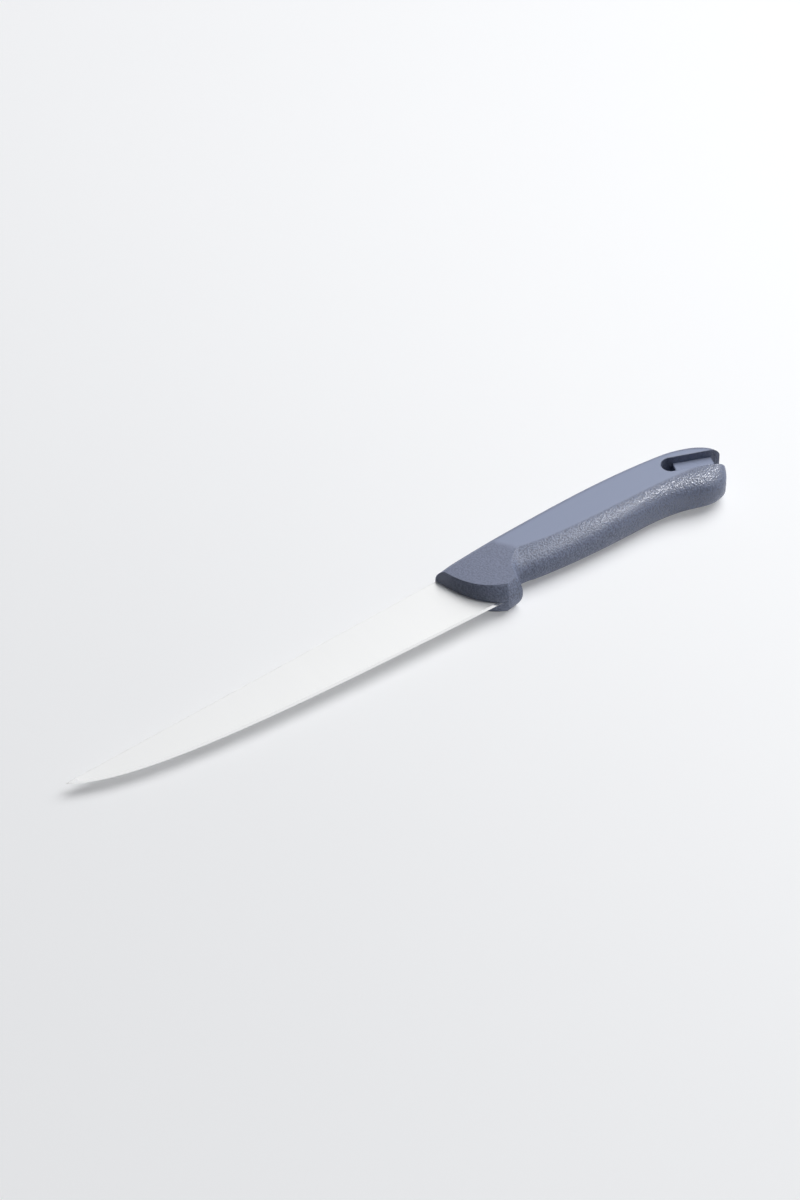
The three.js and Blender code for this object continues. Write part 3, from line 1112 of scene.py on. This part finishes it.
@dataclass
class Blade:
    """The ground steel blade with its hidden tang."""

    # Outline, thickness and second bevel
    length: float = 175.0
    heel_width: float = 25.3
    thickness: float = 1.8
    point_thickness: float = 0.8
    point_slope: float = 0.2
    edge_pull: float = 116.4
    edge_rise: float = 4.5
    point_reach: float = 19.2
    point_drop: float = 15.5
    bevel_width: float = 1.1
    bevel_thickness: float = 0.5
    edge_land: float = 0.06
    spine_ease: float = 0.3
    sharp_angle: float = 8.0

    # Seat in the handle, tang and anchor holes
    seat: float = 2.2
    heel_seat: float = 0.7
    tang_length: float = 104.0
    tang_width: float = 13.0
    tang_top: float = 4.2
    anchor_hole_radius: float = 2.5
    anchor_hole_count: int = 3
    anchor_hole_first: float = 42.0
    anchor_hole_pitch: float = 22.0

    # Tilt of the second bevel against the blade's side, at the least and at the most, in degrees
    bevel_tilt_least: float = 5.0
    bevel_tilt_most: float = 20.0

    # Shares of the thickness and width that limit the eased spine and the bevel at the point
    ease_thickness_share: float = 0.9
    ease_width_share: float = 0.25
    bevel_width_share: float = 0.5

    # Mesh steps, with the stations crowded towards the point
    stations: int = 150
    crowding: float = 1.15
    ease_steps: int = 12
    arc_steps: int = 24
    overcut: float = 5.0

    def edge_curve(self, handle: Handle) -> PlanCurve:
        """The cutting edge from the heel to the point."""
        return PlanCurve(
            plan(handle.guard_front_at, -self.heel_width),
            plan(handle.guard_front_at - self.edge_pull, self.edge_rise - self.heel_width),
            plan(self.point_reach - self.length, -self.point_drop),
            plan(-self.length, 0),
        )

    def section(self, edge: Vector, share: float, gap: float) -> list[Vector]:
        """One section of the blade.

        Args:
            edge: The edge's point in plan.
            share: How far towards the point the section lies.
            gap: How much larger the section is all round.

        Returns:
            The section's points, round from the upper side of the spine.
        """
        # At the point the blade grows thinner with its width, so that its last faces stay shallow
        thinned = self.edge_land / 2 - self.point_slope * edge.y
        half = min(lerp(self.thickness, self.point_thickness, share) / 2, thinned) + gap
        shoulder = min(self.bevel_thickness / 2 + gap, half)
        bevel = min(self.bevel_width, -edge.y * self.bevel_width_share)
        limit = min(half * self.ease_thickness_share, -edge.y * self.ease_width_share)
        ease = min(self.spine_ease, limit)
        points = []
        for side in (1, -1):
            for i in range(self.ease_steps + 1):
                turn = i if side > 0 else self.ease_steps - i
                angle = math.pi / 2 * (1 - turn / self.ease_steps)
                y = gap - ease * (1 - math.cos(angle))
                z = half - ease * (1 - math.sin(angle))
                points.append((y, side * z))
        points.append((edge.y + bevel, -shoulder))
        points.append((edge.y - gap, -self.edge_land / 2 - gap))
        points.append((edge.y - gap, self.edge_land / 2 + gap))
        points.append((edge.y + bevel, shoulder))
        return [Vector((edge.x, y, z)) for y, z in points]

    def ground(self, handle: Handle, gap: float) -> bpy.types.Object:
        """Grows the ground blade from past the handle's front to its point.

        Args:
            handle: The handle that holds the blade.
            gap: How much larger the solid is all round.

        Returns:
            The ground blade, without its tang.
        """
        curve = self.edge_curve(handle)
        rings = []
        for station in shares(self.stations):
            edge = curve.at(1 - (1 - station) ** self.crowding)
            share = (handle.guard_front_at - edge.x) / (handle.guard_front_at + self.length)
            rings.append(self.section(edge, share, gap))
        loft = RingLoft("ground_blade", rings[0])
        loft.grow_capped(rings[1:])
        loft.grow([Vector((-self.length, 0, 0))] * len(rings[0]))
        loft.point()
        return loft.finish()

    def seat_room(self, handle: Handle, gap: float) -> bpy.types.Object:
        """Makes the room in front of the blade's seat, whose back follows the handle's front.

        Args:
            handle: The handle that holds the blade.
            gap: How much larger the solid is all round.

        Returns:
            A plate that takes in the blade up to its seat.
        """
        seat = self.seat + gap
        heel = handle.front_at(-self.heel_width) + self.heel_seat + gap
        front = handle.front_curve()
        points = [front.at(i / self.arc_steps) for i in range(self.arc_steps + 1)]
        back = [point + plan(seat, self.seat) for point in points if point.x + seat < heel]
        far = -self.length - self.overcut
        low = -self.heel_width - self.overcut
        outline = [plan(far, self.overcut), plan(far, low), plan(heel, low), plan(heel, back[0].y)]
        outline += back
        outline.append(plan(seat, self.overcut))
        return plate("seat", outline, self.thickness + self.overcut)

    def tang(self, handle: Handle, gap: float) -> bpy.types.Object:
        """Makes the tang behind the blade, with its anchor holes.

        Args:
            handle: The handle that holds the blade.
            gap: How much larger the solid is all round.

        Returns:
            The tang.
        """
        high = gap - self.tang_top
        low = -self.tang_top - self.tang_width - gap
        radius = (high - low) / 2
        middle = self.tang_length + gap - radius
        root = self.seat / 2 - gap
        outline = [plan(handle.front_at(low) + root, low)]
        for i in range(self.arc_steps + 1):
            angle = math.pi * (i / self.arc_steps - 0.5)
            x = middle + radius * math.cos(angle)
            outline.append(plan(x, low + radius + radius * math.sin(angle)))
        outline.append(plan(handle.front_at(high) + root, high))
        piece = plate("tang", outline, self.thickness / 2 + gap)
        for i in range(self.anchor_hole_count):
            bpy.ops.object.select_all(action="DESELECT")
            bpy.ops.mesh.primitive_cylinder_add(
                vertices=2 * self.arc_steps,
                radius=self.anchor_hole_radius - gap,
                depth=self.thickness + self.overcut,
                location=(self.anchor_hole_first + i * self.anchor_hole_pitch, low + radius, 0),
            )
            join_solids(piece, bpy.context.object, Join.CUT)
        return piece

    def solid(self, handle: Handle, gap: float) -> bpy.types.Object:
        """The whole steel piece, or with a gap the pocket that it sits in.

        Args:
            handle: The handle that holds the blade.
            gap: How much larger the solid is all round.

        Returns:
            The solid, in the knife's own drawing.
        """
        piece = self.ground(handle, gap)
        join_solids(piece, self.seat_room(handle, gap), Join.KEEP)
        join_solids(piece, self.tang(handle, gap), Join.UNION)
        return piece

    def build(self, handle: Handle, place: Matrix) -> bpy.types.Object:
        """Builds the blade in place.

        Args:
            handle: The handle that holds the blade.
            place: From the knife's drawing to the shared frame.

        Returns:
            The finished mesh object.
        """
        piece = self.solid(handle, 0.0)
        self.mark_bevel(piece)
        settle(piece, self.sharp_angle, place)
        return piece

    def mark_bevel(self, piece: bpy.types.Object) -> None:
        """Marks the faces of the second bevel, which is honed finer than the blade's sides.

        Args:
            piece: The blade, still in the knife's own drawing.
        """
        layer = piece.data.attributes.new(BEVEL_LAYER, "FLOAT", "FACE")
        side = math.cos(math.radians(self.bevel_tilt_least))
        slope = math.cos(math.radians(self.bevel_tilt_most))
        for polygon in piece.data.polygons:
            tilted = slope < abs(polygon.normal.z) < side
            layer.data[polygon.index].value = 1.0 if tilted and polygon.normal.y < 0 else 0.0

    def dress(self, piece: bpy.types.Object, finish: "SatinSteel") -> None:
        """Gives the blade its finish and ties it to the frame.

        Args:
            piece: The blade's mesh object.
            finish: The steel's finish.
        """
        piece.data.materials.clear()
        piece.data.materials.append(finish.material())
        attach(piece, "root")
        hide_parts(Node.BLADE.value)


# Finishes


@dataclass(frozen=True)
class MouldedPolypropylene:
    """Moulded polypropylene with a spark-eroded grain: dull slate blue, each grain with a glint,
    and painted shade on the bolster, the belly and the grain's pits.
    """

    # The facets' colour, and darker copies of it on the bolster and belly: painted shade for the
    # less light on their slopes and the shadow of their coarser grain.
    facet_colour: str = "8992AA"
    bolster_shaded_colour: str = "737A90"
    belly_shaded_colour: str = "6D758B"
    facet_roughness: float = 0.46
    belly_roughness: float = 0.18
    pit_roughness: float = 0.52
    # The grain's peaks are polished more and more between these places along the knife, in metres.
    polish_start: float = 0.055
    polish_end: float = 0.115
    # The grain is drawn some four times coarser and deeper than spark erosion leaves it,
    # so that it shows.
    grain_mm: float = 0.75
    fine_grain_mm: float = 0.5
    grain_depth_mm: float = 0.3
    fine_depth_mm: float = 0.03
    # The grain's pits darken the colour as painted shade, and its peaks lighten it as painted
    # light.
    pit_painted_shade: float = 0.76
    peak_painted_light: float = 1.18
    # The noise's values between which the painted shade and light and the roughness run from pit to
    # peak.
    painted_shade_low: float = 0.35
    painted_shade_high: float = 0.65
    grit_low: float = 0.4
    grit_high: float = 0.6
    ior: float = 1.49

    def material(self) -> bpy.types.Material:
        """Makes the material.

        Returns:
            A material that reads the grain layer of the mesh.
        """
        made, tree, shader = start_material("moulded_polypropylene_spark_grain")
        place = add_node(tree, "ShaderNodeTexCoord", {}).outputs["Object"]
        layer = add_node(tree, "ShaderNodeAttribute", {}, attribute_name=GRAIN_AND_SHADE_LAYER)
        grain = layer.outputs["Fac"]
        # The grain layer picks the tone, so the bolster and the belly take the painted shade.
        lit_and_shaded_tone = add_node(tree, "ShaderNodeValToRGB", {"Fac": grain})
        lit_and_shaded_tone.color_ramp.elements[0].color = linear(self.facet_colour)
        lit_and_shaded_tone.color_ramp.elements[1].color = linear(self.belly_shaded_colour)
        lit_and_shaded_tone.color_ramp.elements.new(Handle.bolster_grain_and_shade).color = linear(self.bolster_shaded_colour)
        coarse = add_node(tree, "ShaderNodeTexNoise", {
            "Vector": place, "Scale": 1 / (self.grain_mm * MM), "Detail": 1.0, "Roughness": 0.5,
        })
        # Painted shade in the grain's pits and painted light on its peaks, stronger where the grain
        # is coarser.
        painted_shade = add_node(tree, "ShaderNodeMapRange", {
            "Value": coarse.outputs["Fac"], "From Min": self.painted_shade_low, "From Max": self.painted_shade_high,
            "To Min": self.pit_painted_shade, "To Max": self.peak_painted_light,
        })
        colour = add_node(tree, "ShaderNodeHueSaturation", {
            "Color": lit_and_shaded_tone.outputs["Color"], "Value": painted_shade.outputs["Result"], "Fac": grain,
        })
        tree.links.new(colour.outputs["Color"], shader.inputs["Base Color"])
        along = add_node(tree, "ShaderNodeSeparateXYZ", {"Vector": place}).outputs["X"]
        polish = add_node(tree, "ShaderNodeMapRange", {
            "Value": along, "From Min": self.polish_start, "From Max": self.polish_end,
            "To Min": self.pit_roughness, "To Max": self.belly_roughness,
        })
        grit = add_node(tree, "ShaderNodeMapRange", {
            "Value": coarse.outputs["Fac"], "From Min": self.grit_low, "From Max": self.grit_high,
            "To Min": self.pit_roughness, "To Max": polish.outputs["Result"],
        })
        rough = add_node(tree, "ShaderNodeMapRange", {
            "Value": grain, "To Min": self.facet_roughness, "To Max": grit.outputs["Result"],
        })
        tree.links.new(rough.outputs["Result"], shader.inputs["Roughness"])
        fine = add_node(tree, "ShaderNodeTexNoise", {
            "Vector": place, "Scale": 1 / (self.fine_grain_mm * MM), "Detail": 1.0,
        })
        low = add_node(tree, "ShaderNodeBump", {
            "Height": fine.outputs["Fac"], "Strength": 1.0, "Distance": self.fine_depth_mm * MM,
        })
        bump = add_node(tree, "ShaderNodeBump", {
            "Height": coarse.outputs["Fac"], "Strength": grain,
            "Distance": self.grain_depth_mm * MM, "Normal": low.outputs["Normal"],
        })
        tree.links.new(bump.outputs["Normal"], shader.inputs["Normal"])
        shader.inputs["IOR"].default_value = self.ior
        return made


@dataclass(frozen=True)
class SatinSteel:
    """Stainless steel ground to a satin: pale and even, with faint lines from spine to edge."""

    colour: str = "EDEDEC"
    roughness: float = 0.36
    bevel_roughness: float = 0.09
    # The lines are drawn some four times wider than the grit leaves them, so that they show.
    line_mm: float = 0.35
    line_length_mm: float = 24.0
    line_depth_mm: float = 0.0003
    roughness_swing: float = 0.05

    def material(self) -> bpy.types.Material:
        """Makes the material.

        Returns:
            A metal with grinding lines across the blade.
        """
        made, tree, shader = start_material("stainless_steel_satin_ground")
        place = add_node(tree, "ShaderNodeTexCoord", {}).outputs["Object"]
        across, along = 1 / (self.line_mm * MM), 1 / (self.line_length_mm * MM)
        stretch = add_node(tree, "ShaderNodeMapping", {
            "Vector": place, "Scale": (across, along, along),
        })
        lines = add_node(tree, "ShaderNodeTexNoise", {
            "Vector": stretch.outputs["Vector"], "Scale": 1.0, "Detail": 2.0,
        })
        rough = add_node(tree, "ShaderNodeMapRange", {
            "Value": lines.outputs["Fac"],
            "To Min": self.roughness - self.roughness_swing,
            "To Max": self.roughness + self.roughness_swing,
        })
        bump = add_node(tree, "ShaderNodeBump", {
            "Height": lines.outputs["Fac"], "Strength": 1.0, "Distance": self.line_depth_mm * MM,
        })
        bevel = add_node(tree, "ShaderNodeAttribute", {}, attribute_name=BEVEL_LAYER).outputs["Fac"]
        finish = add_node(tree, "ShaderNodeMapRange", {
            "Value": bevel, "To Min": rough.outputs["Result"], "To Max": self.bevel_roughness,
        })
        tree.links.new(finish.outputs["Result"], shader.inputs["Roughness"])
        tree.links.new(bump.outputs["Normal"], shader.inputs["Normal"])
        shader.inputs["Base Color"].default_value = linear(self.colour)
        shader.inputs["Metallic"].default_value = 1.0
        return made


# Studio


@dataclass
class Studio:
    """The white table, the soft light over it and the camera, in metres."""

    floor_size: float = 6.0
    floor_colour: str = "F7F8FA"
    floor_roughness: float = 0.9
    floor_specular: float = 0.1
    backdrop_colour: str = "FAFBFD"
    # The backdrop's share in the floor, and the distances between which it grows to 1.
    floor_lift: float = 0.25
    fade_start: float = 0.1
    fade_end: float = 1.2
    # The surround grows brighter along the sky's axis, for the fill light and for reflections.
    fill_strength: float = 0.28
    gloss_dark: float = 0.3
    sky_axis: tuple[float, float, float] = (0.85, 0.0, 0.53)
    sky_dark: float = 0.15
    sky_bright: float = 0.7
    # Lamps, placed from the middle of the picture
    lamp_place: tuple[float, float, float] = (0.75, -0.05, 1.1)
    lamp_size: float = 1.3
    lamp_watts: float = 20.0
    glint_place: tuple[float, float, float] = (0.66, -0.18, 1.1)
    glint_size: float = 0.4
    glint_watts: float = 14.0
    # Camera
    camera_distance: float = 1.5
    camera_target: tuple[float, float, float] = (0.008835, 0.021324, 0.0)
    camera_away: tuple[float, float, float] = (-0.6745, -0.8652, 1.0230)
    lens_mm: float = 114.98
    sensor_mm: float = 36.0

    def build_floor(self) -> None:
        """The table's white top, which takes the knife's shadow and fades into the surround."""
        bpy.ops.object.select_all(action="DESELECT")
        bpy.ops.mesh.primitive_plane_add(size=self.floor_size)
        floor = bpy.context.object
        floor.name = "table"
        made, tree, shader = start_material("white_matt_board")
        shader.inputs["Base Color"].default_value = linear(self.floor_colour)
        shader.inputs["Roughness"].default_value = self.floor_roughness
        shader.inputs["Specular IOR Level"].default_value = self.floor_specular
        white = add_node(tree, "ShaderNodeEmission", {"Color": linear(self.backdrop_colour)})
        place = add_node(tree, "ShaderNodeTexCoord", {}).outputs["Object"]
        away = add_node(tree, "ShaderNodeVectorMath", {}, operation="LENGTH")
        tree.links.new(place, away.inputs[0])
        fade = add_node(tree, "ShaderNodeMapRange", {
            "Value": away.outputs["Value"], "From Min": self.fade_start, "From Max": self.fade_end,
            "To Min": self.floor_lift,
        })
        lift = add_node(tree, "ShaderNodeMapRange", {
            "Value": seen_ray(tree), "To Max": fade.outputs["Result"],
        })
        mixed = add_node(tree, "ShaderNodeMixShader", {"Fac": lift.outputs["Result"]})
        tree.links.new(shader.outputs["BSDF"], mixed.inputs[1])
        tree.links.new(white.outputs["Emission"], mixed.inputs[2])
        tree.links.new(mixed.outputs["Shader"], tree.nodes["Material Output"].inputs["Surface"])
        floor.data.materials.append(made)

    def build_world(self) -> None:
        """A surround that is white to the eye, and brightest above the butt for all other rays."""
        world = bpy.data.worlds.new("studio")
        bpy.context.scene.world = world
        world.use_nodes = True
        tree = world.node_tree
        ground = tree.nodes["Background"]
        ground.inputs["Color"].default_value = linear(self.backdrop_colour)
        place = add_node(tree, "ShaderNodeTexCoord", {}).outputs["Generated"]
        rise = add_node(tree, "ShaderNodeVectorMath", {}, operation="DOT_PRODUCT")
        tree.links.new(place, rise.inputs[0])
        rise.inputs[1].default_value = self.sky_axis
        sky = add_node(tree, "ShaderNodeMapRange", {
            "Value": rise.outputs["Value"], "From Min": self.sky_dark, "From Max": self.sky_bright,
        }, interpolation_type="SMOOTHSTEP")
        fill = add_node(tree, "ShaderNodeMapRange", {
            "Value": sky.outputs["Result"], "To Max": self.fill_strength,
        })
        gloss = add_node(tree, "ShaderNodeMapRange", {
            "Value": sky.outputs["Result"], "To Min": self.gloss_dark,
        })
        ray = add_node(tree, "ShaderNodeLightPath", {}).outputs
        lit = add_node(tree, "ShaderNodeMapRange", {
            "Value": ray["Is Glossy Ray"],
            "To Min": fill.outputs["Result"],
            "To Max": gloss.outputs["Result"],
        })
        seen = add_node(tree, "ShaderNodeMapRange", {
            "Value": ray["Is Camera Ray"], "To Min": lit.outputs["Result"],
        })
        tree.links.new(seen.outputs["Result"], ground.inputs["Strength"])

    def add_lamp(
        self, name: str, way: Sequence[float], size: float, watts: float
    ) -> bpy.types.Object:
        """Adds a round lamp above the knife.

        Args:
            name: The lamp's name.
            way: Where it hangs, from the middle of the picture.
            size: Its width across.
            watts: Its power.

        Returns:
            The lamp, turned to the middle of the picture.
        """
        target = Vector(self.camera_target)
        place = target + Vector(way)
        bpy.ops.object.light_add(type="AREA", location=place)
        lamp = bpy.context.object
        lamp.name = name
        lamp.data.shape = "DISK"
        lamp.data.size = size
        lamp.data.energy = watts
        lamp.rotation_euler = (place - target).to_track_quat("Z", "Y").to_euler()
        return lamp

    def build_lamps(self) -> None:
        """A broad soft lamp for the light, and a small one for glints on the plastic's grain."""
        soft = self.add_lamp("softbox", self.lamp_place, self.lamp_size, self.lamp_watts)
        soft.visible_glossy = False
        glint = self.add_lamp("glint_lamp", self.glint_place, self.glint_size, self.glint_watts)
        glint.visible_diffuse = False

    def build_camera(self) -> None:
        """The camera, far off and looking down on the knife."""
        target = Vector(self.camera_target)
        away = Vector(self.camera_away).normalized()
        place = target + away * self.camera_distance
        bpy.ops.object.camera_add(location=place, rotation=away.to_track_quat("Z", "Y").to_euler())
        camera = bpy.context.object
        camera.data.lens = self.lens_mm
        camera.data.sensor_width = self.sensor_mm
        camera.data.sensor_fit = "AUTO"
        bpy.context.scene.camera = camera

    def build(self) -> None:
        """Builds the table, the light and the camera."""
        bpy.context.scene.view_settings.view_transform = "Standard"
        self.build_floor()
        self.build_world()
        self.build_lamps()
        self.build_camera()


def drawing_place(handle: Handle, blade: Blade) -> Matrix:
    """Where the knife's own drawing lies in the shared frame.

    The lower facet lies level on the table, and the blade's point and spine lie where the packed
    blade's do.

    Args:
        handle: The handle, whose taper tilts the drawing.
        blade: The blade, whose length sets the drawing along the knife.

    Returns:
        From millimetres in the drawing to metres in the frame.
    """
    low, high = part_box(Node.BLADE.value)
    tilt = math.atan(handle.taper)
    offset = Vector((
        low.x + math.cos(tilt) * blade.length * MM,
        high.y,
        math.cos(tilt) * handle.facet_half(0) * MM,
    ))
    return Matrix.Translation(offset) @ Matrix.Rotation(-tilt, 4, "Y") @ Matrix.Scale(MM, 4)


def main() -> None:
    """Builds and dresses the knife, and sets it in the studio."""
    logging.basicConfig(level=logging.INFO, format="%(name)s: %(message)s")
    handle, blade = Handle(), Blade()
    place = drawing_place(handle, blade)
    steel_piece = blade.build(handle, place)
    blade.dress(steel_piece, SatinSteel())
    log.info("blade has %d faces", len(steel_piece.data.polygons))
    plastic_piece = handle.build(blade.solid(handle, handle.pocket_gap), place)
    handle.dress(plastic_piece, MouldedPolypropylene())
    log.info("handle has %d faces", len(plastic_piece.data.polygons))
    Studio().build()


if __name__ == "__main__":
    main()
